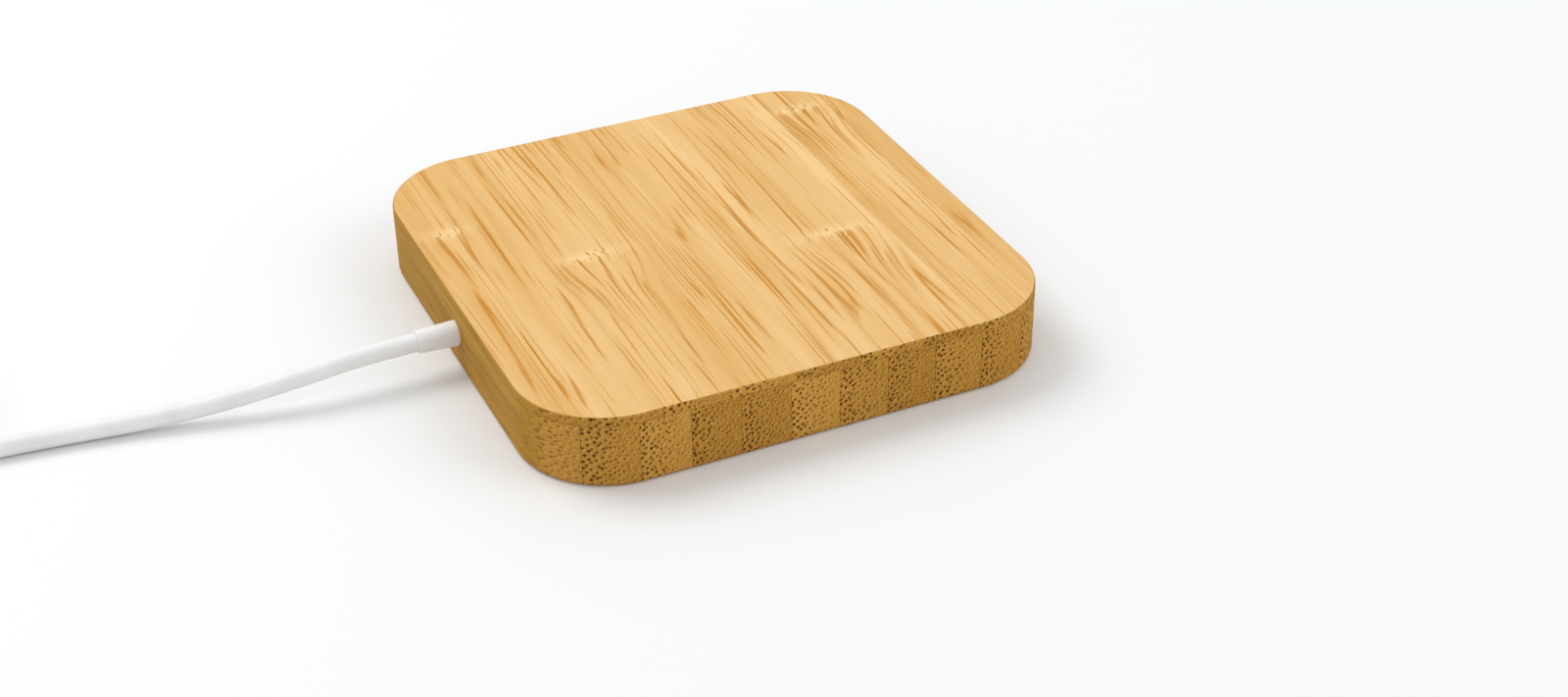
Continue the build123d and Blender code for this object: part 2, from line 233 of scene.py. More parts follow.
class Wiring:
    # short ways to add nodes to one node tree
    def __init__(self, tree):
        self.tree = tree

    def add(self, kind, **settings):
        made = self.tree.nodes.new(kind)
        for name, value in settings.items():
            setattr(made, name, value)
        return made

    def feed(self, socket, value):
        if isinstance(value, bpy.types.NodeSocket):
            self.tree.links.new(value, socket)
        else:
            socket.default_value = value

    def calc(self, operation, first, second=0.0, third=0.0, clamp=False):
        made = self.add("ShaderNodeMath", operation=operation, use_clamp=clamp)
        for socket, value in zip(made.inputs, (first, second, third)):
            self.feed(socket, value)
        return made.outputs[0]

    def move(self, operation, first, second):
        made = self.add("ShaderNodeVectorMath", operation=operation)
        self.feed(made.inputs[0], first)
        self.feed(made.inputs[1], second)
        return made.outputs["Vector"]

    def split(self, vector):
        made = self.add("ShaderNodeSeparateXYZ")
        self.feed(made.inputs[0], vector)
        return made.outputs

    def join(self, x, y, z):
        made = self.add("ShaderNodeCombineXYZ")
        for socket, value in zip(made.inputs, (x, y, z)):
            self.feed(socket, value)
        return made.outputs[0]

    def blend(self, share, first, second):
        made = self.add("ShaderNodeMix", data_type="RGBA")
        self.feed(made.inputs[0], share)
        self.feed(made.inputs[6], first)
        self.feed(made.inputs[7], second)
        return made.outputs[2]

    def step(self, value, low, high, fromValue=0.0, toValue=1.0):
        # a smooth rise from one level to another
        made = self.add("ShaderNodeMapRange", interpolation_type="SMOOTHSTEP")
        for socket, level in zip(made.inputs, (value, low, high, fromValue, toValue)):
            self.feed(socket, level)
        return made.outputs[0]

    def fall(self, value, low, high):
        return self.step(value, low, high, 1.0, 0.0)

    def noise(self, vector, scale=1.0, detail=2.0, rough=0.5):
        made = self.add("ShaderNodeTexNoise")
        self.feed(made.inputs["Vector"], vector)
        self.feed(made.inputs["Scale"], scale)
        self.feed(made.inputs["Detail"], detail)
        self.feed(made.inputs["Roughness"], rough)
        return made.outputs[0]

    def cells(self, vector, scale=1.0, feature="F1", spread=1.0):
        made = self.add("ShaderNodeTexVoronoi", feature=feature)
        self.feed(made.inputs["Vector"], vector)
        self.feed(made.inputs["Scale"], scale)
        self.feed(made.inputs["Randomness"], spread)
        return made.outputs

    def chance(self, value):
        made = self.add("ShaderNodeTexWhiteNoise", noise_dimensions="1D")
        self.feed(made.inputs["W"], value)
        return made.outputs["Value"]


def newGroup(name, inputs, outputs):
    tree = bpy.data.node_groups.new(name, "ShaderNodeTree")
    for label, kind, value in inputs:
        socket = tree.interface.new_socket(label, in_out="INPUT", socket_type=kind)
        if value is not None:
            socket.default_value = value
    for label, kind in outputs:
        tree.interface.new_socket(label, in_out="OUTPUT", socket_type=kind)
    wiring = Wiring(tree)
    return tree, wiring, wiring.add("NodeGroupInput").outputs, wiring.add("NodeGroupOutput").inputs


def useGroup(wiring, tree, **values):
    made = wiring.add("ShaderNodeGroup", node_tree=tree)
    for label, value in values.items():
        wiring.feed(made.inputs[label], value)
    return made.outputs


def newMaterial(name, roughness=0.5, metallic=0.0, coat=0.0, ior=1.5):
    material = bpy.data.materials.new(name)
    material.use_nodes = True
    wiring = Wiring(material.node_tree)
    shader = material.node_tree.nodes["Principled BSDF"]
    shader.inputs["Roughness"].default_value = roughness
    shader.inputs["Metallic"].default_value = metallic
    shader.inputs["Coat Weight"].default_value = coat
    shader.inputs["IOR"].default_value = ior
    return material, wiring, shader


def objectPlace(wiring):
    # the place on the object in millimetres
    place = wiring.add("ShaderNodeTexCoord").outputs["Object"]
    return wiring.move("MULTIPLY", place, (1 / mm, 1 / mm, 1 / mm))


def addBump(wiring, shader, height, depth, strength=1.0):
    bump = wiring.add("ShaderNodeBump")
    bump.inputs["Strength"].default_value = strength
    bump.inputs["Distance"].default_value = depth * mm
    wiring.feed(bump.inputs["Height"], height)
    wiring.feed(shader.inputs["Normal"], bump.outputs["Normal"])


# bamboo

floatSocket, vectorSocket, colorSocket = "NodeSocketFloat", "NodeSocketVector", "NodeSocketColor"


def makeKnuckleGroup():
    # how near a place is to one knuckle of the cane, and how its fibres are pushed aside
    tree, wiring, given, result = newGroup(
        "knuckle",
        [("Place", vectorSocket, None), ("Centre X", floatSocket, 0.0), ("Centre Y", floatSocket, 0.0),
         ("Half Width", floatSocket, 3.0), ("Half Length", floatSocket, 2.0), ("Push", floatSocket, 0.8)],
        [("Mask", floatSocket), ("Flare", floatSocket), ("Offset", floatSocket)])
    x, y = wiring.split(given["Place"])[:2]
    fromCentre = wiring.calc("SUBTRACT", x, given["Centre X"])
    across = wiring.calc("DIVIDE", fromCentre, given["Half Width"])
    down = wiring.calc("DIVIDE", wiring.calc("SUBTRACT", y, given["Centre Y"]), given["Half Length"])
    across2 = wiring.calc("MULTIPLY", across, across)
    down2 = wiring.calc("MULTIPLY", down, down)
    mask = wiring.calc("EXPONENT", wiring.calc("MULTIPLY", wiring.calc("ADD", across2, down2), -1.0))
    # below the knuckle the fibres fan out in dark strokes that die away
    beside = wiring.calc("EXPONENT", wiring.calc("MULTIPLY", across2, -0.9))
    below = wiring.calc("MULTIPLY", wiring.fall(down, -0.9, 0.3), wiring.step(down, -17.0, -3.0))
    fan = wiring.fall(down, -9.0, 0.0)
    push = wiring.calc("MULTIPLY", wiring.calc("MULTIPLY", across, beside), given["Push"])
    wiring.feed(result["Mask"], mask)
    wiring.feed(result["Flare"], wiring.calc("MULTIPLY", wiring.calc("POWER", beside, 0.6), below))
    wiring.feed(result["Offset"], wiring.calc("MULTIPLY", push, fan))
    return tree


bambooFinish = {
    "Long Pale": tone(233, 195, 136),
    "Long Deep": tone(206, 156, 82),
    "Golden": tone(214, 152, 62),
    "Streak": tone(186, 123, 40),
    "Pith": tone(240, 206, 150),
    # the two side tones are painted shade: a darker copy of the long grain for the faces that look along X
    "Shaded Side Pale": tone(188, 143, 54),
    "Shaded Side Deep": tone(150, 106, 28),
    "End Pale": tone(206, 154, 73),
    "End Deep": tone(166, 117, 43),
    "Speck": tone(220, 176, 98),
    "Pore": tone(98, 54, 8),
}

# streaks in the long grain: size across and along the fibres, where the edge starts and ends, and depth
streakKinds = {
    "bundle": {"size": (0.60, 44.0), "edge": (0.15, 0.26), "depth": 1.0},
    "halo": {"size": (0.60, 44.0), "edge": (0.22, 0.44), "depth": 1.0},    # it lies round the bundle
    "thin": {"size": (0.40, 56.0), "edge": (0.14, 0.23), "depth": 0.72},
    "fan": {"size": (0.78, 19.0), "edge": (0.26, 0.42), "depth": 0.95},
    "dash": {"size": (0.46, 1.6), "edge": (0.20, 0.36), "depth": 0.85},
}

# the other patterns in the long grain: size across and along the fibres
fibreSizes = {
    "broad": (3.2, 60.0),
    "fine": (0.20, 12.0),
    "hair": (0.09, 3.0),
    "clump": (2.1, 24.0),
    "contour": (2.2, 120.0),
    "lineFade": (1.3, 15.0),
}

# pores in the end grain, in shares of the gap between them
poreShape = {
    "disorder": 0.62,
    "openRadius": 0.24,
    "denseExtra": 0.13,
    "edge": 0.13,
    "speckShift": (-0.10, -0.44, 0.0),
    "speckEdge": (0.08, 0.26),
    "speckDepth": 0.55,
}


def addStrips(wiring, given, x):
    # each strip has its own number, two chances of its own, a place across it and its glued joint
    strip = wiring.calc("DIVIDE", wiring.calc("SUBTRACT", x, given["First Joint"]), given["Strip Width"])
    number = wiring.calc("FLOOR", strip)
    across = wiring.calc("FRACT", strip)
    chance = wiring.chance(wiring.calc("ADD", number, given["Seed"]))
    chance2 = wiring.chance(wiring.calc("MULTIPLY_ADD", number, 3.7, given["Seed"]))
    joint = wiring.calc("MINIMUM", across, wiring.calc("SUBTRACT", 1.0, across))
    jointLine = wiring.fall(wiring.calc("MULTIPLY", joint, given["Strip Width"]), 0.02, 0.10)
    return {"number": number, "across": across, "chance": chance, "chance2": chance2, "joint": jointLine}


def addFibres(wiring, given, strips, place):
    # the place among the fibres, which wander a little, and more beside a knuckle
    x, y, z = place
    slow = wiring.move("MULTIPLY", given["Place"], (0.05, 0.016, 0.05))
    wander = wiring.calc("MULTIPLY_ADD", wiring.noise(slow, 1.0, 1.0), 2.4, -1.2)
    ripple = wiring.move("MULTIPLY", given["Place"], (0.60, 0.55, 0.60))
    rippled = wiring.calc("SUBTRACT", wiring.noise(ripple, 1.0, 2.0), 0.5)
    ripples = wiring.calc("MULTIPLY", rippled, wiring.calc("MULTIPLY_ADD", given["Knuckle"], 1.7, 0.10))
    bentX = wiring.calc("ADD", wiring.calc("ADD", x, wander), wiring.calc("ADD", ripples, given["Push"]))
    ownY = wiring.calc("MULTIPLY_ADD", strips["chance"], 61.0, y)
    ownZ = wiring.calc("MULTIPLY_ADD", strips["chance2"], 23.0, z)
    return bentX, ownY, ownZ


def addLongGrain(wiring, given, strips, fibrePlace):
    # broad tone, grain lines that crowd together, and dark tapered streaks
    def stretched(across, length):
        return wiring.move("MULTIPLY", fibrePlace, (1 / across, 1 / length, 1 / across))

    def streak(kind, where):
        shape = streakKinds[kind]
        distance = wiring.cells(stretched(*shape["size"]))["Distance"]
        shown = wiring.calc("MULTIPLY", wiring.fall(distance, *shape["edge"]), where)
        return wiring.calc("MULTIPLY", shown, shape["depth"])

    broad = wiring.noise(stretched(*fibreSizes["broad"]), 1.0, 2.0)
    fine = wiring.noise(stretched(*fibreSizes["fine"]), 1.0, 3.0, 0.6)
    hair = wiring.noise(stretched(*fibreSizes["hair"]), 1.0, 1.0)
    clump = wiring.noise(stretched(*fibreSizes["clump"]), 1.0, 1.0)
    crowded = wiring.calc("MAXIMUM", wiring.step(clump, 0.50, 0.66), given["Flare"])
    crowdedThin = wiring.calc("MAXIMUM", wiring.step(clump, 0.36, 0.52), given["Flare"])
    knuckleCore = wiring.step(given["Knuckle"], 0.22, 0.75)

    levels = wiring.calc("MULTIPLY", wiring.noise(stretched(*fibreSizes["contour"]), 1.0, 1.0), 8.0)
    fromLine = wiring.calc("ABSOLUTE", wiring.calc("SUBTRACT", wiring.calc("FRACT", levels), 0.5))
    lineFade = wiring.step(wiring.noise(stretched(*fibreSizes["lineFade"]), 1.0, 1.0), 0.44, 0.62)
    lines = wiring.calc("MULTIPLY", wiring.fall(fromLine, 0.03, 0.13), lineFade)
    nearLines = wiring.calc("MULTIPLY", wiring.fall(fromLine, 0.05, 0.36), lineFade)
    streaks = wiring.calc("MULTIPLY", lines, 0.80)
    for kind, where in (("bundle", crowded), ("thin", crowdedThin), ("fan", given["Flare"]),
                        ("dash", knuckleCore)):
        streaks = wiring.calc("MAXIMUM", streaks, streak(kind, where), clamp=True)
    golden = wiring.calc("MAXIMUM", streak("halo", crowded), wiring.calc("MULTIPLY", nearLines, 0.5))

    share = wiring.calc("MULTIPLY_ADD", wiring.calc("SUBTRACT", broad, 0.5), 1.5, 0.40)
    share = wiring.calc("ADD", share, wiring.calc("MULTIPLY_ADD", strips["chance2"], 0.18, -0.09))
    share = wiring.calc("ADD", share, wiring.calc("MULTIPLY_ADD", fine, 0.6, -0.3), clamp=True)
    topColor = wiring.blend(share, given["Long Pale"], given["Long Deep"])
    topColor = wiring.blend(wiring.calc("MULTIPLY", given["Knuckle"], 0.8), topColor, given["Pith"])
    topColor = wiring.blend(wiring.calc("MULTIPLY", golden, 0.58), topColor, given["Golden"])
    topColor = wiring.blend(wiring.calc("MULTIPLY", streaks, 0.92), topColor, given["Streak"])
    # painted shade: the faces that look along X get the same grain in darker tones, with the streaks drawn in
    # the dark pore tone
    shadedSideColor = wiring.blend(share, given["Shaded Side Pale"], given["Shaded Side Deep"])
    shadedSideColor = wiring.blend(wiring.calc("MULTIPLY", golden, 0.40), shadedSideColor, given["Golden"])
    shadedSideColor = wiring.blend(wiring.calc("MULTIPLY", streaks, 0.66), shadedSideColor, given["Pore"])
    height = wiring.calc("MULTIPLY_ADD", streaks, -0.55, wiring.calc("MULTIPLY", hair, 0.30))
    return {"top": topColor, "side": shadedSideColor, "height": height, "streaks": streaks, "fine": fine}


def addEndGrain(wiring, given, strips, fibres, fibrePlace):
    # pores crowd one side of each strip and thin out to the other, each with a pale speck
    bentX, ownZ = fibres[0], fibres[2]
    poreX = wiring.calc("DIVIDE", bentX, given["Pore Gap"])
    poreZ = wiring.calc("MULTIPLY_ADD", strips["number"], 7.3, wiring.calc("DIVIDE", ownZ, given["Pore Gap"]))
    slant = wiring.join(wiring.calc("ADD", poreX, poreZ), wiring.calc("SUBTRACT", poreX, poreZ), 0.0)
    pores = wiring.add("ShaderNodeTexVoronoi", voronoi_dimensions="2D")
    specks = wiring.add("ShaderNodeTexVoronoi", voronoi_dimensions="2D")
    for node, place in ((pores, slant), (specks, wiring.move("ADD", slant, poreShape["speckShift"]))):
        wiring.feed(node.inputs["Vector"], place)
        node.inputs["Scale"].default_value = 1.0
        node.inputs["Randomness"].default_value = poreShape["disorder"]
    patchy = wiring.noise(wiring.move("MULTIPLY", fibrePlace, (0.6, 0.2, 0.4)), 1.0, 1.0)
    dense = wiring.calc("SUBTRACT", 1.0, strips["across"])
    dense = wiring.calc("ADD", dense, wiring.calc("MULTIPLY_ADD", patchy, 0.9, -0.38), clamp=True)
    edge = wiring.calc("MULTIPLY_ADD", dense, poreShape["denseExtra"], poreShape["openRadius"])
    core = wiring.calc("SUBTRACT", edge, poreShape["edge"])
    varied = wiring.calc("MULTIPLY_ADD", wiring.split(pores.outputs["Color"])[0], 0.36, 0.06)
    depth = wiring.calc("MULTIPLY_ADD", dense, 0.62, varied, clamp=True)
    poreMask = wiring.calc("MULTIPLY", wiring.fall(pores.outputs["Distance"], core, edge), depth)
    speckMask = wiring.fall(specks.outputs["Distance"], *poreShape["speckEdge"])

    flesh = wiring.noise(wiring.move("MULTIPLY", fibrePlace, (2.0, 0.4, 2.0)), 1.0, 3.0, 0.62)
    fleshShare = wiring.calc("MULTIPLY_ADD", flesh, 1.3, -0.42)
    share = wiring.calc("MULTIPLY_ADD", strips["chance"], 0.55, fleshShare)
    share = wiring.calc("ADD", share, wiring.calc("MULTIPLY", strips["across"], 0.18), clamp=True)
    color = wiring.blend(share, given["End Pale"], given["End Deep"])
    color = wiring.blend(wiring.calc("MULTIPLY", speckMask, poreShape["speckDepth"]), color, given["Speck"])
    color = wiring.blend(poreMask, color, given["Pore"])
    height = wiring.calc("MULTIPLY_ADD", poreMask, -1.5, wiring.calc("MULTIPLY", flesh, 0.5))
    return {"color": color, "height": height}


def makeBambooGroup():
    # laminated bamboo: strips side by side along X, fibres along Y, pores on the faces that look along Y
    tree, wiring, given, result = newGroup(
        "laminatedBamboo",
        [("Place", vectorSocket, None), ("Facing", vectorSocket, None), ("Knuckle", floatSocket, 0.0),
         ("Flare", floatSocket, 0.0), ("Push", floatSocket, 0.0), ("Strip Width", floatSocket, 5.6),
         ("First Joint", floatSocket, 0.0), ("Seed", floatSocket, 0.0), ("Pore Gap", floatSocket, 0.84),
         *((label, colorSocket, None) for label in bambooFinish)],
        [("Color", colorSocket), ("Roughness", floatSocket), ("Height", floatSocket)])
    place = wiring.split(given["Place"])[:]
    facingX, facingY = wiring.split(given["Facing"])[:2]
    across = wiring.step(wiring.calc("ABSOLUTE", facingY), 0.22, 0.60)
    shadedSideShare = wiring.step(wiring.calc("ABSOLUTE", facingX), 0.30, 0.75)

    strips = addStrips(wiring, given, place[0])
    fibres = addFibres(wiring, given, strips, place)
    fibrePlace = wiring.join(*fibres)
    longGrain = addLongGrain(wiring, given, strips, fibrePlace)
    endGrain = addEndGrain(wiring, given, strips, fibres, fibrePlace)

    # the faces that look along X take the darker side copy, which is painted shade
    longColor = wiring.blend(shadedSideShare, longGrain["top"], longGrain["side"])
    color = wiring.blend(across, longColor, endGrain["color"])
    jointShade = wiring.calc("MULTIPLY", strips["joint"], wiring.calc("MULTIPLY_ADD", across, 0.24, 0.10))
    wiring.feed(result["Color"], wiring.blend(jointShade, color, given["Pore"]))
    height = wiring.add("ShaderNodeMix", data_type="FLOAT")
    for number, value in ((0, across), (2, longGrain["height"]), (3, endGrain["height"])):
        wiring.feed(height.inputs[number], value)
    wiring.feed(result["Height"], wiring.calc("MULTIPLY_ADD", strips["joint"], -0.4, height.outputs[0]))
    rough = wiring.calc("MULTIPLY_ADD", longGrain["fine"], 0.14, 0.46)
    rough = wiring.calc("MULTIPLY_ADD", across, 0.18, rough)
    wiring.feed(result["Roughness"], wiring.calc("MULTIPLY_ADD", longGrain["streaks"], 0.08, rough))
    return tree


knuckleGroup = makeKnuckleGroup()
bambooGroup = makeBambooGroup()

# millimetres; each knuckle is centre x and y, half width, half length and sideways push
lidGrain = {
    "stripWidth": 7.4,
    "firstJoint": -17.6,
    "seed": 11.0,
    "knuckles": [(-13.2, 1.4, 3.6, 1.1, 2.6), (13.0, -5.6, 3.8, 1.3, 2.0), (22.8, 23.8, 3.4, 1.1, 2.2),
                 (-26.0, 13.0, 2.2, 1.2, 0.8)],
}
bodyGrain = {
    "stripWidth": 5.62,
    "firstJoint": -3.4,
    "seed": 4.0,
    "knuckles": [(-6.4, 13.0, 3.0, 1.5, 0.8), (16.0, -14.0, 3.0, 1.5, -0.8)],
}


def makeBamboo(name, grain):
    # oiled wood with hardly any shine of its own
    material, wiring, shader = newMaterial(name, ior=1.3)
    shader.inputs["Specular IOR Level"].default_value = 0.12
    place = objectPlace(wiring)
    facing = wiring.add("ShaderNodeTexCoord").outputs["Normal"]
    mask, flare, push = 0.0, 0.0, 0.0
    for centreX, centreY, halfWidth, halfLength, sidePush in grain["knuckles"]:
        one = useGroup(wiring, knuckleGroup, **{
            "Place": place, "Centre X": centreX, "Centre Y": centreY, "Half Width": halfWidth,
            "Half Length": halfLength, "Push": sidePush})
        mask = wiring.calc("MAXIMUM", one["Mask"], mask)
        flare = wiring.calc("MAXIMUM", one["Flare"], flare)
        push = wiring.calc("ADD", one["Offset"], push)
    wood = useGroup(wiring, bambooGroup, **{
        "Place": place, "Facing": facing, "Knuckle": mask, "Flare": flare, "Push": push,
        "Strip Width": grain["stripWidth"], "First Joint": grain["firstJoint"], "Seed": grain["seed"],
        **bambooFinish})
    wiring.feed(shader.inputs["Base Color"], wood["Color"])
    wiring.feed(shader.inputs["Roughness"], wood["Roughness"])
    addBump(wiring, shader, wood["Height"], 0.04)
    return material


bambooLid = makeBamboo("bambooLid", lidGrain)
bambooBody = makeBamboo("bambooBody", bodyGrain)
print("bamboo mixed")


# plastics, rubber and metals

def makeMouldedGroup():
    # fine moulded grain with faint larger blotches
    tree, wiring, given, result = newGroup(
        "mouldedGrain",
        [("Place", vectorSocket, None), ("Grain Size", floatSocket, 0.2)],
        [("Grain", floatSocket), ("Blotch", floatSocket)])
    scale = wiring.calc("DIVIDE", 1.0, given["Grain Size"])
    wiring.feed(result["Grain"], wiring.noise(given["Place"], scale, 3.0, 0.6))
    wiring.feed(result["Blotch"], wiring.noise(given["Place"], wiring.calc("MULTIPLY", scale, 0.06), 2.0))
    return tree


mouldedGroup = makeMouldedGroup()


def makeMoulded(name, pale, deep, roughness=0.45, grainSize=0.2, depth=0.006, coat=0.0, subsurface=0.0,
                seamZ=None, shine=0.5):
    material, wiring, shader = newMaterial(name, coat=coat)
    shader.inputs["Specular IOR Level"].default_value = shine
    place = objectPlace(wiring)
    grain = useGroup(wiring, mouldedGroup, **{"Place": place, "Grain Size": grainSize})
    share = wiring.calc("MULTIPLY_ADD", grain["Blotch"], 0.7, wiring.calc("MULTIPLY", grain["Grain"], 0.3))
    color = wiring.blend(wiring.step(share, 0.3, 0.7), pale, deep)
    height = grain["Grain"]
    if seamZ is not None:      # the fine line where the two halves of the mould met
        z = wiring.split(place)[2]
        seam = wiring.fall(wiring.calc("ABSOLUTE", wiring.calc("SUBTRACT", z, seamZ)), 0.02, 0.07)
        color = wiring.blend(wiring.calc("MULTIPLY", seam, 0.5), color, deep)
        height = wiring.calc("MULTIPLY_ADD", seam, 3.0, height)
    wiring.feed(shader.inputs["Base Color"], color)
    rough = wiring.calc("MULTIPLY_ADD", grain["Grain"], 0.16, roughness - 0.08)
    wiring.feed(shader.inputs["Roughness"], rough)
    shader.inputs["Subsurface Weight"].default_value = subsurface
    shader.inputs["Subsurface Radius"].default_value = (0.001, 0.001, 0.0008)
    shader.inputs["Subsurface Scale"].default_value = 0.6
    addBump(wiring, shader, height, depth)
    return material


def makeScratchGroup():
    # rolled or drawn metal: fine lines one way, scuffs across them and cloudy tarnish
    tree, wiring, given, result = newGroup(
        "workedMetal",
        [("Place", vectorSocket, None), ("Line Width", floatSocket, 0.04), ("Line Length", floatSocket, 2.0)],
        [("Lines", floatSocket), ("Scuffs", floatSocket), ("Tarnish", floatSocket)])
    x, y, z = wiring.split(given["Place"])
    lineX = wiring.calc("DIVIDE", x, given["Line Width"])
    lineY = wiring.calc("DIVIDE", y, given["Line Length"])
    lineZ = wiring.calc("DIVIDE", z, given["Line Width"])
    wiring.feed(result["Lines"], wiring.noise(wiring.join(lineX, lineY, lineZ), 1.0, 2.0))
    bent = wiring.move("MULTIPLY", given["Place"], (0.5, 4.0, 4.0))
    wiring.feed(result["Scuffs"], wiring.step(wiring.noise(bent, 1.0, 3.0, 0.6), 0.58, 0.70))
    wiring.feed(result["Tarnish"], wiring.noise(given["Place"], 0.35, 3.0, 0.6))
    return tree


scratchGroup = makeScratchGroup()


def makeMetal(name, pale, deep, roughness=0.3, lineWidth=0.04, lineLength=2.0, depth=0.003, coat=0.0):
    material, wiring, shader = newMaterial(name, metallic=1.0, coat=coat)
    place = objectPlace(wiring)
    worked = useGroup(wiring, scratchGroup, **{
        "Place": place, "Line Width": lineWidth, "Line Length": lineLength})
    tarnish = wiring.step(worked["Tarnish"], 0.35, 0.7)
    wiring.feed(shader.inputs["Base Color"], wiring.blend(tarnish, pale, deep))
    rough = wiring.calc("MULTIPLY_ADD", worked["Lines"], 0.18, roughness - 0.09)
    wiring.feed(shader.inputs["Roughness"], wiring.calc("MULTIPLY_ADD", worked["Scuffs"], 0.12, rough))
    addBump(wiring, shader, wiring.calc("MULTIPLY_ADD", worked["Scuffs"], -0.3, worked["Lines"]), depth)
    return material


def makeFilm(name, pale, deep, roughness, coat):
    # thin film or tape: slow ripples and a few trapped bubbles
    material, wiring, shader = newMaterial(name, coat=coat)
    place = objectPlace(wiring)
    ripples = wiring.noise(place, 0.22, 2.0)
    bubbles = wiring.fall(wiring.cells(place, 0.30)["Distance"], 0.05, 0.14)
    share = wiring.calc("MULTIPLY_ADD", bubbles, -0.5, ripples, clamp=True)
    wiring.feed(shader.inputs["Base Color"], wiring.blend(share, pale, deep))
    wiring.feed(shader.inputs["Roughness"], wiring.calc("MULTIPLY_ADD", ripples, 0.2, roughness - 0.1))
    addBump(wiring, shader, wiring.calc("ADD", ripples, bubbles), 0.04)
    return material


def makeFerrite(name, pale, deep, crack):
    # sintered plate that is broken into small tiles under its film
    material, wiring, shader = newMaterial(name, roughness=0.6)
    place = objectPlace(wiring)
    grain = useGroup(wiring, mouldedGroup, **{"Place": place, "Grain Size": 0.12})
    cracks = wiring.fall(wiring.cells(place, 0.32, "DISTANCE_TO_EDGE")["Distance"], 0.0, 0.03)
    color = wiring.blend(grain["Grain"], pale, deep)
    wiring.feed(shader.inputs["Base Color"], wiring.blend(wiring.calc("MULTIPLY", cracks, 0.8), color, crack))
    wiring.feed(shader.inputs["Roughness"], wiring.calc("MULTIPLY_ADD", grain["Grain"], 0.3, 0.42))
    addBump(wiring, shader, wiring.calc("MULTIPLY_ADD", cracks, -2.0, grain["Grain"]), 0.02)
    return material


def makeFoam(name, pale, deep):
    # open cells with thin walls; the cell hollows are painted darker, as painted shade
    material, wiring, shader = newMaterial(name, roughness=0.9)
    place = objectPlace(wiring)
    walls = wiring.step(wiring.cells(place, 2.4)["Distance"], 0.15, 0.60)
    blotch = wiring.noise(place, 0.2, 2.0)
    # painted shade: dark in the middle of each cell and pale on its walls, with random blotches
    share = wiring.calc("MULTIPLY_ADD", walls, -0.8, wiring.calc("ADD", blotch, 0.4), clamp=True)
    wiring.feed(shader.inputs["Base Color"], wiring.blend(share, pale, deep))
    wiring.feed(shader.inputs["Roughness"], wiring.calc("MULTIPLY_ADD", walls, 0.1, 0.82))
    addBump(wiring, shader, walls, 0.12)
    return material


def makeBoard(name, mask, track, metal):
    # masked laminate: copper tracks show through as a lighter green, with bright plated holes
    material, wiring, shader = newMaterial(name, coat=0.3)
    place = objectPlace(wiring)
    squares = wiring.add("ShaderNodeTexVoronoi", distance="CHEBYCHEV")
    wiring.feed(squares.inputs["Vector"], place)
    squares.inputs["Scale"].default_value = 0.16
    squares.inputs["Randomness"].default_value = 0.8
    ring = wiring.calc("FRACT", wiring.calc("MULTIPLY", squares.outputs["Distance"], 9.0))
    tracks = wiring.fall(wiring.calc("ABSOLUTE", wiring.calc("SUBTRACT", ring, 0.5)), 0.16, 0.22)
    fibres = wiring.noise(wiring.move("MULTIPLY", place, (6.0, 6.0, 1.0)), 1.0, 2.0)
    holes = wiring.fall(wiring.cells(place, 0.42, "F1", 0.9)["Distance"], 0.07, 0.10)
    color = wiring.blend(wiring.calc("MULTIPLY", tracks, 0.8), mask, track)
    color = wiring.blend(wiring.calc("MULTIPLY", fibres, 0.3), color, mask)
    wiring.feed(shader.inputs["Base Color"], wiring.blend(holes, color, metal))
    wiring.feed(shader.inputs["Metallic"], holes)
    wiring.feed(shader.inputs["Roughness"], wiring.calc("MULTIPLY_ADD", fibres, 0.2, 0.28))
    addBump(wiring, shader, wiring.calc("MULTIPLY_ADD", holes, -1.0, tracks), 0.03)
    return material


def makeWeave(name, pale, deep):
    # hook-and-loop strap: a fine fuzzy twill
    material, wiring, shader = newMaterial(name, roughness=0.85)
    shader.inputs["Sheen Weight"].default_value = 0.3
    place = objectPlace(wiring)
    x, y, z = wiring.split(place)
    ribs = wiring.calc("SINE", wiring.calc("MULTIPLY", wiring.calc("ADD", wiring.calc("ADD", x, y), z), 16.0))
    fuzz = wiring.noise(place, 7.0, 3.0, 0.65)
    share = wiring.calc("MULTIPLY_ADD", ribs, 0.18, fuzz, clamp=True)
    wiring.feed(shader.inputs["Base Color"], wiring.blend(share, deep, pale))
    wiring.feed(shader.inputs["Roughness"], wiring.calc("MULTIPLY_ADD", fuzz, 0.15, 0.78))
    addBump(wiring, shader, wiring.calc("MULTIPLY_ADD", ribs, 0.35, fuzz), 0.06)
    return material


wireJacket = {"roughness": 0.4, "grainSize": 0.15, "depth": 0.006, "coat": 0.2}

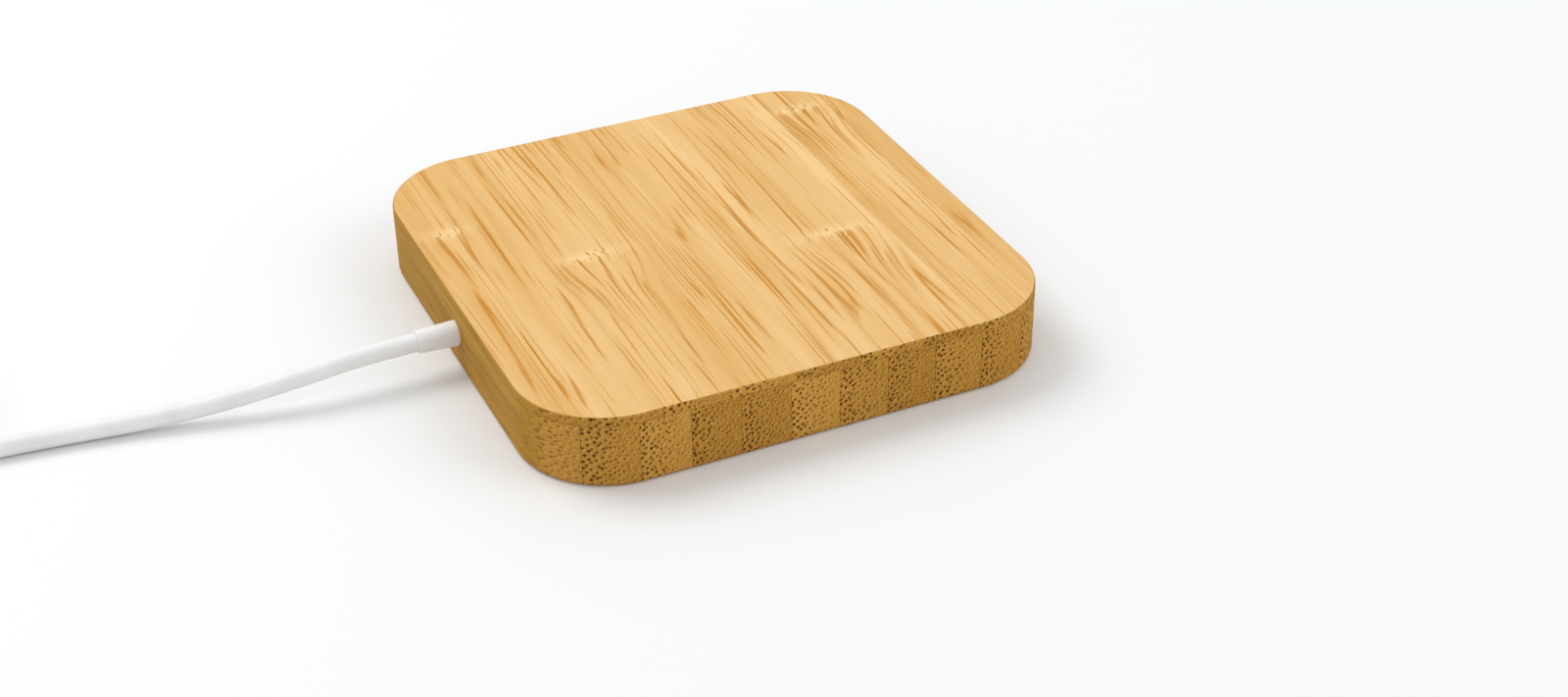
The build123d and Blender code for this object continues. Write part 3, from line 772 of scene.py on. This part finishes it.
# each finish stands under the slot that it belongs to in the record
finishes = {
    "bamboo": bambooBody,
    "wood_glue": makeMoulded("woodGlue", tone(168, 120, 46), tone(148, 104, 36),
                             roughness=0.8, grainSize=0.3, depth=0.02, shine=0.05),
    "clear_tape": makeFilm("clearTape", tone(214, 206, 172), tone(196, 186, 150), roughness=0.3, coat=0.5),
    "magnet_nickel": makeMetal("magnetNickel", tone(214, 212, 206), tone(190, 188, 182),
                               roughness=0.24, lineWidth=0.3, lineLength=0.3, depth=0.004),
    "plated_steel": makeMetal("platedSteel", tone(196, 198, 200), tone(168, 170, 174),
                              roughness=0.34, lineWidth=0.05, lineLength=3.0),
    "enamelled_copper": makeMetal("enamelledCopper", tone(206, 122, 70), tone(176, 92, 48),
                                  roughness=0.28, lineWidth=0.2, lineLength=1.2, depth=0.004, coat=0.6),
    "ferrite": makeFerrite("ferrite", tone(62, 62, 64), tone(44, 44, 46), crack=tone(22, 22, 24)),
    "thermistor_glass": makeMoulded("thermistorBead", tone(48, 46, 44), tone(30, 29, 28),
                                    roughness=0.2, grainSize=0.1, depth=0.003, coat=0.8),
    "tinned_metal": makeMetal("brightTin", tone(212, 212, 208), tone(182, 182, 180),
                              roughness=0.3, lineWidth=0.12, lineLength=0.3, depth=0.006),
    "amber_film": makeFilm("amberFilm", tone(214, 142, 38), tone(176, 104, 20), roughness=0.26, coat=0.6),
    "board_laminate": makeBoard("boardLaminate", tone(16, 84, 50), track=tone(38, 122, 74),
                                metal=tone(214, 176, 96)),
    "chip_resin": makeMoulded("chipResin", tone(54, 54, 56), tone(38, 38, 40),
                              roughness=0.55, grainSize=0.08, depth=0.01),
    "capacitor_ceramic": makeMoulded("capacitorCeramic", tone(190, 160, 118), tone(160, 130, 90),
                                     roughness=0.5, grainSize=0.1, depth=0.008),
    "inductor_core": makeMoulded("inductorCore", tone(92, 92, 94), tone(66, 66, 68),
                                 roughness=0.7, grainSize=0.06, depth=0.02),
    "foam": makeFoam("greyFoam", tone(96, 98, 100), tone(42, 43, 45)),
    "cord_jacket": makeMoulded("cordWhite", tone(236, 236, 235), tone(226, 226, 224),
                               roughness=0.46, grainSize=0.25, depth=0.008),
    "relief_resin": makeMoulded("reliefWhite", tone(241, 240, 237), tone(231, 229, 225),
                                roughness=0.40, grainSize=0.4, depth=0.02, coat=0.1, subsurface=0.35),
    "black_insulation": makeMoulded("blackInsulation", tone(44, 44, 46), tone(30, 30, 32), **wireJacket),
    "red_insulation": makeMoulded("redInsulation", tone(196, 34, 28), tone(160, 24, 22), **wireJacket),
    "white_insulation": makeMoulded("whiteInsulation", tone(236, 234, 228), tone(216, 213, 205),
                                    **wireJacket),
    "tie_strap": makeWeave("tieStrap", tone(96, 96, 98), tone(50, 50, 52)),
    "plug_white": makeMoulded("plugWhite", tone(240, 240, 239), tone(230, 230, 228),
                              roughness=0.36, grainSize=0.18, depth=0.008, coat=0.2,
                              seamZ=cordPlan["plugEnd"][2]),
    "plug_steel": makeMetal("plugSteel", tone(204, 204, 206), tone(178, 178, 182),
                            roughness=0.26, lineWidth=0.03, lineLength=4.0, depth=0.002),
    "plug_liner_resin": makeMoulded("linerResin", tone(40, 40, 42), tone(26, 26, 28),
                                    roughness=0.4, grainSize=0.1, depth=0.005, coat=0.2),
    "contact_gold": makeMetal("contactGold", tone(232, 188, 96), tone(206, 158, 70),
                              roughness=0.22, lineWidth=0.03, lineLength=1.0, depth=0.002),
}
print("finishes mixed:", len(finishes))


def boxOf(name):
    # a node's lowest and highest corners in millimetres
    low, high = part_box(name)
    return Vector(low) / mm, Vector(high) / mm


def addPiece(shape, name, slot, *stoodFor):
    # one finished piece, with its place in its mesh
    bmesh.ops.recalc_face_normals(shape, faces=shape.faces)
    mesh = bpy.data.meshes.new(name)
    shape.to_mesh(mesh)
    shape.free()
    mesh.shade_smooth()
    piece = bpy.data.objects.new(name, mesh)
    bpy.context.scene.collection.objects.link(piece)
    piece.data.materials.append(finishes[slot])
    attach(piece, "root")
    if stoodFor:
        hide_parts(*stoodFor)
    return piece


def sharpEdges(shape, degrees):
    limit = math.radians(degrees)
    return [edge for edge in shape.edges if len(edge.link_faces) == 2 and edge.calc_face_angle() > limit]


def turned(profile, start, heading, softness, steps=72, sharpAngle=14):
    # an outline of distances along +X and radii, spun round that line, softened and put in its place
    shape = bmesh.new()
    corners = [shape.verts.new((distance * mm, 0.0, radius * mm)) for distance, radius in profile]
    edges = [shape.edges.new(pair) for pair in zip(corners, corners[1:] + corners[:1])]
    bmesh.ops.spin(shape, geom=corners + edges, axis=(1, 0, 0), cent=(0, 0, 0), steps=steps,
                   angle=2 * math.pi, use_merge=True)
    bmesh.ops.remove_doubles(shape, verts=shape.verts, dist=1e-6)
    bmesh.ops.recalc_face_normals(shape, faces=shape.faces)
    bmesh.ops.bevel(shape, geom=sharpEdges(shape, sharpAngle), offset=softness * mm, affect="EDGES",
                    segments=4, profile=0.5, material=-1, clamp_overlap=True)
    bmesh.ops.rotate(shape, verts=shape.verts, cent=(0, 0, 0),
                     matrix=Matrix.Rotation(math.radians(heading), 3, "Z"))
    bmesh.ops.translate(shape, verts=shape.verts, vec=Vector(start) * mm)
    return shape


padRelief = {
    "boreRadius": 1.08,
    "tipRadius": 1.3,
    "wallRadius": 1.45,
    "flangeLength": 1.3,
    "softness": 0.09,
}


def makePadRelief():
    # the short sleeve round the cord, with its flange inside the case wall
    plan = padRelief
    low, high = boxOf("strain_relief")
    wall = boxOf("bamboo_body")[0].x - low.x
    end = high.x - low.x
    flange = (high.y - low.y) / 2
    profile = [(0.0, plan["boreRadius"]), (0.0, plan["tipRadius"]), (wall, plan["wallRadius"]),
               (end - plan["flangeLength"], plan["wallRadius"]), (end - plan["flangeLength"], flange),
               (end, flange), (end, plan["boreRadius"])]
    start = (low.x, (low.y + high.y) / 2, (low.z + high.z) / 2)
    shape = turned(profile, start, 0.0, plan["softness"])
    return addPiece(shape, "padRelief", "relief_resin", "strain_relief")


plugRelief = {
    "tipRadius": 1.50,
    "endRadius": 2.10,
    "length": 6.0,
    "grooves": 3,
    "firstGroove": 0.8,
    "plainLength": 1.4,
    "grooveWidth": 0.45,
    "grooveDepth": 0.16,
    "grooveSlope": 0.1,
    "softness": 0.08,
}


def makePlugRelief():
    # a ribbed boot that widens into the plug
    plan = plugRelief

    def radiusAt(distance):
        return plan["tipRadius"] + (plan["endRadius"] - plan["tipRadius"]) * distance / plan["length"]

    profile = [(0.0, 0.0), (0.0, radiusAt(0.0))]
    for number in range(plan["grooves"]):
        near = plan["firstGroove"] + number * (plan["length"] - plan["plainLength"]) / plan["grooves"]
        far = near + plan["grooveWidth"]
        profile += [(near, radiusAt(near)),
                    (near + plan["grooveSlope"], radiusAt(near) - plan["grooveDepth"]),
                    (far - plan["grooveSlope"], radiusAt(far) - plan["grooveDepth"]),
                    (far, radiusAt(far))]
    profile += [(plan["length"], radiusAt(plan["length"])), (plan["length"], 0.0)]
    shape = turned(profile, cordPlan["plugEnd"], cordPlan["plugHeading"], plan["softness"])
    return addPiece(shape, "plugRelief", "relief_resin", "plug_strain_relief")


winding = {
    "innerRadius": 10.0,
    "wire": 0.96,
    "turns": 10,
    "startAngle": 3.4,
    "endAngle": -3.3,
    "pointsPerTurn": 20,
}


def makeWinding():
    # the charging coil as one flat spiral of enamelled wire
    plan = winding
    low, high = boxOf("charging_coil")
    first = plan["innerRadius"] + plan["wire"] / 2
    last = high.x - plan["wire"] / 2
    count = plan["turns"] * plan["pointsPerTurn"]
    route = []
    for step in range(count + 1):
        share = step / count
        angle = plan["startAngle"] + share * (plan["turns"] * 360 + plan["endAngle"] - plan["startAngle"])
        route.append(along((0.0, 0.0, (low.z + high.z) / 2), angle, first + (last - first) * share))
    wire = smoothTube("windingWire", route, plan["wire"], 3, 2)
    shape = bmesh.new()
    shape.from_mesh(bpy.data.meshes.new_from_object(wire))
    bpy.data.objects.remove(wire)
    return addPiece(shape, "windingTurns", "enamelled_copper", "charging_coil")


def addBlock(shape, centre, size, softness):
    place = Matrix.Translation(Vector(centre) * mm) @ Matrix.Diagonal((*(Vector(size) * mm), 1.0))
    made = bmesh.ops.create_cube(shape, size=1.0, matrix=place)
    edges = list({edge for corner in made["verts"] for edge in corner.link_edges})
    bmesh.ops.bevel(shape, geom=edges, offset=softness * mm, affect="EDGES", segments=2, profile=0.5,
                    material=-1, clamp_overlap=True)


endCaps = {
    "capShare": 0.22,         # of the component's length
    "proud": 0.03,
    "softness": 0.04,
    # first x and y, step in x and y, how many, length, width and height, 1 where the length lies along Y
    "rows": [
        (-8.0, -14.0, 4.0, 0.0, 5, 3.2, 2.5, 1.8, 0),
        (-14.0, -6.5, 2.2, 0.0, 4, 3.2, 1.6, 1.5, 1),
        (-1.2, 11.4, 1.6, 0.0, 6, 1.0, 0.5, 0.45, 0),
        (-13.0, 9.0, 1.6, 0.0, 4, 1.0, 0.5, 0.45, 0),
        (11.0, -8.0, 0.0, 1.4, 6, 1.0, 0.5, 0.45, 0),
        (8.2, 4.6, 0.0, 1.4, 4, 1.0, 0.5, 0.45, 0),
    ],
}


def makeEndCaps():
    # the tinned ends of the capacitors and resistors
    boardTop = boxOf("circuit_board")[1].z
    proud = endCaps["proud"]
    shape = bmesh.new()
    for startX, startY, stepX, stepY, count, length, width, height, lengthways in endCaps["rows"]:
        cap = length * endCaps["capShare"]
        size = (cap + proud, width + 2 * proud, height + proud)
        if lengthways:
            size = (size[1], size[0], size[2])
        for number in range(count):
            for side in (-1, 1):
                away = side * (length - cap + proud) / 2
                x = startX + number * stepX + (0 if lengthways else away)
                y = startY + number * stepY + (away if lengthways else 0)
                addBlock(shape, (x, y, boardTop + (height + proud) / 2), size, endCaps["softness"])
    return addPiece(shape, "componentEnds", "tinned_metal")


chipPads = {
    "length": 0.34,
    "width": 0.26,
    "height": 0.16,
    "softness": 0.03,
    "proud": 0.12,
    "cornerGaps": 0.8,        # left free at the two ends of a side together
    # centre x and y, side of the chip, pads along each side
    "chips": [(3.0, 7.0, 5.0, 8), (-9.5, 5.0, 4.0, 6), (2.0, -6.4, 3.2, 4), (2.0, -2.2, 3.2, 4),
              (6.2, -6.4, 3.2, 4), (6.2, -2.2, 3.2, 4)],
}


def makeChipPads():
    # the solder pads that show along the foot of each leadless chip
    plan = chipPads
    boardTop = boxOf("circuit_board")[1].z
    shape = bmesh.new()
    for centreX, centreY, side, count in plan["chips"]:
        for number in range(count):
            across = (number - (count - 1) / 2) * (side - plan["cornerGaps"]) / count
            for turn in range(4):
                away = (side - plan["length"]) / 2 + plan["proud"]
                x, y = ((away, across), (across, away), (-away, across), (across, -away))[turn]
                size = (plan["length"], plan["width"], plan["height"])
                if turn % 2:
                    size = (size[1], size[0], size[2])
                place = (centreX + x, centreY + y, boardTop + plan["height"] / 2)
                addBlock(shape, place, size, plan["softness"])
    return addPiece(shape, "chipPads", "tinned_metal")


padReliefPiece = makePadRelief()
plugReliefPiece = makePlugRelief()
makeWinding()
makeEndCaps()
makeChipPads()
cord.data.materials.append(finishes["cord_jacket"])
print("new pieces made")

# the parts that keep their built shape take their finish by slot, and the lid has its own cut of bamboo
for part in frame["record"]["subparts"]:
    node = cadNodes[part["node"]]
    node.data.materials.clear()
    node.data.materials.append(bambooLid if part["node"] == "bamboo_lid" else finishes[part["material_slot"]])
print("parts finished")


# the studio

studio = {
    "floorSize": 6.0,         # metres
    "floorGap": 0.03,
    "floorTone": tone(236, 237, 236),
    "worldTone": (0.97, 0.98, 1.0, 1.0),
    "worldStrength": 0.75,
    # name, place, width and power of each soft light, in metres and watts
    "lights": [("keyLight", (-0.25, 0.35, 0.55), 0.45, 2.2), ("fillLight", (0.45, -0.35, 0.40), 0.5, 1.0)],
}


def addLight(name, place, width, power):
    # a round soft light that looks at the pad
    light = bpy.data.lights.new(name, "AREA")
    light.energy = power
    light.shape = "DISK"
    light.size = width
    lamp = bpy.data.objects.new(name, light)
    lamp.location = place
    lamp.rotation_euler = (-Vector(place)).to_track_quat("-Z", "Y").to_euler()
    bpy.context.scene.collection.objects.link(lamp)


def makeStudio():
    shape = bmesh.new()
    bmesh.ops.create_grid(shape, x_segments=1, y_segments=1, size=studio["floorSize"] / 2)
    bmesh.ops.translate(shape, verts=shape.verts, vec=(0.0, 0.0, -studio["floorGap"] * mm))
    mesh = bpy.data.meshes.new("studioFloor")
    shape.to_mesh(mesh)
    shape.free()
    floor = bpy.data.objects.new("studioFloor", mesh)
    bpy.context.scene.collection.objects.link(floor)
    material, _, shader = newMaterial("paleFloor", roughness=0.55)
    shader.inputs["Base Color"].default_value = studio["floorTone"]
    mesh.materials.append(material)
    for light in studio["lights"]:
        addLight(*light)
    world = bpy.data.worlds.new("studioWorld")
    world.use_nodes = True
    background = world.node_tree.nodes["Background"]
    background.inputs["Color"].default_value = studio["worldTone"]
    background.inputs["Strength"].default_value = studio["worldStrength"]
    bpy.context.scene.world = world
    bpy.context.scene.view_settings.view_transform = "Standard"


makeStudio()
print("studio lit")


bpy.context.view_layer.update()
